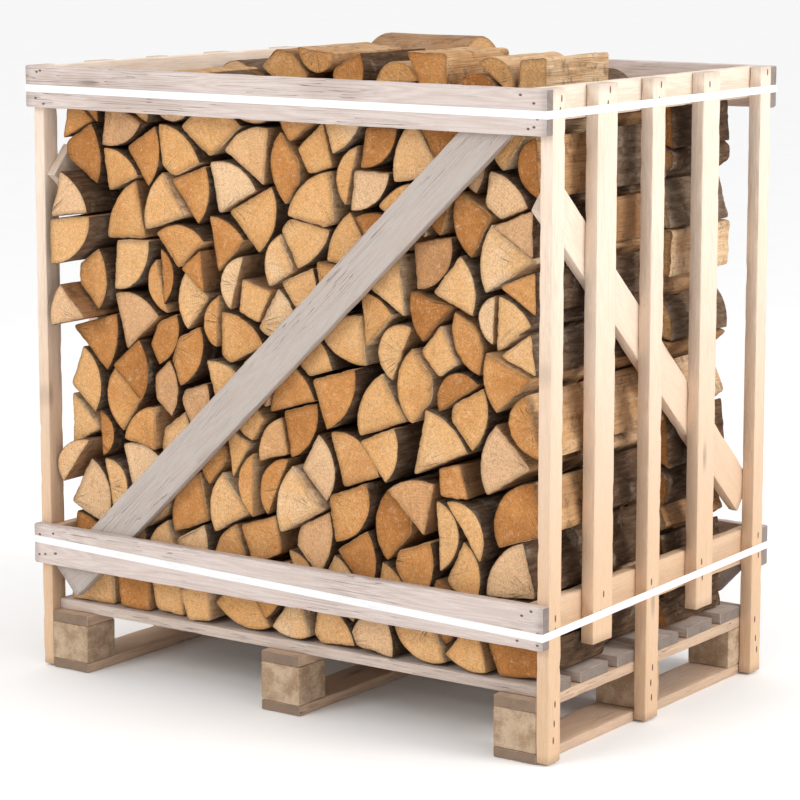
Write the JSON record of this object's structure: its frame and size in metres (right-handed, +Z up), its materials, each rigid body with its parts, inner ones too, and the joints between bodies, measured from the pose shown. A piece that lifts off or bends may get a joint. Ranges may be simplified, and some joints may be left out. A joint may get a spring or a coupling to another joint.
{
  "type": "pallet of firewood",
  "caption": "Split firewood stacked in a nailed timber crate on a block pallet, held by two plastic straps, with fork openings on all four sides.",
  "frame": {"origin": "centre of the pallet's footprint, on the floor", "axes": "+X to the right along the long front side, +Y towards the back, +Z up"},
  "size_m": [1.2522, 0.8662, 1.309],
  "materials": {
    "log_wood": "split and sawn hardwood, dry, with rough bark",
    "weathered_board": "rough-sawn softwood, weathered silver grey",
    "fresh_board": "rough-sawn softwood, pale cream",
    "pallet_wood": "rough-sawn softwood, brown and dusty",
    "strap_white": "glossy white strapping band"
  },
  "bodies": {
    "root": {"back_bottom_board": "weathered_board", "back_brace": "weathered_board", "back_top_board": "weathered_board", "block_centre_front": "pallet_wood", "block_centre_middle": "pallet_wood", "block_centre_rear": "pallet_wood", "block_left_front": "pallet_wood", "block_left_middle": "pallet_wood", "block_left_rear": "pallet_wood", "block_right_front": "pallet_wood", "block_right_middle": "pallet_wood", "block_right_rear": "pallet_wood", "bottom_strap": "strap_white", "crossways_log": "log_wood", "deck_board_1": "weathered_board", "deck_board_2": "weathered_board", "deck_board_3": "weathered_board", "deck_board_4": "weathered_board", "deck_board_5": "weathered_board", "deck_board_6": "weathered_board", "front_bottom_board": "weathered_board", "front_brace": "weathered_board", "front_top_board": "weathered_board", "left_bottom_rail": "fresh_board", "left_brace": "fresh_board", "left_front_post": "fresh_board", "left_front_slat": "fresh_board", "left_middle_slat": "fresh_board", "left_rear_post": "fresh_board", "left_rear_slat": "fresh_board", "left_top_rail": "fresh_board", "log_heap_01": "log_wood", "log_heap_02": "log_wood", "log_heap_03": "log_wood", "log_layer_01": "log_wood", "log_layer_02": "log_wood", "log_layer_03": "log_wood", "log_layer_04": "log_wood", "log_layer_05": "log_wood", "log_layer_06": "log_wood", "log_layer_07": "log_wood", "log_layer_08": "log_wood", "log_layer_09": "log_wood", "log_layer_10": "log_wood", "log_layer_11": "log_wood", "right_bottom_rail": "fresh_board", "right_brace": "fresh_board", "right_front_post": "fresh_board", "right_front_slat": "fresh_board", "right_middle_slat": "fresh_board", "right_rear_post": "fresh_board", "right_rear_slat": "fresh_board", "right_top_rail": "fresh_board", "skid_centre": "pallet_wood", "skid_left": "pallet_wood", "skid_right": "pallet_wood", "stringer_centre": "weathered_board", "stringer_left": "weathered_board", "stringer_right": "weathered_board", "top_strap": "strap_white"}
  },
  "joints": []
}
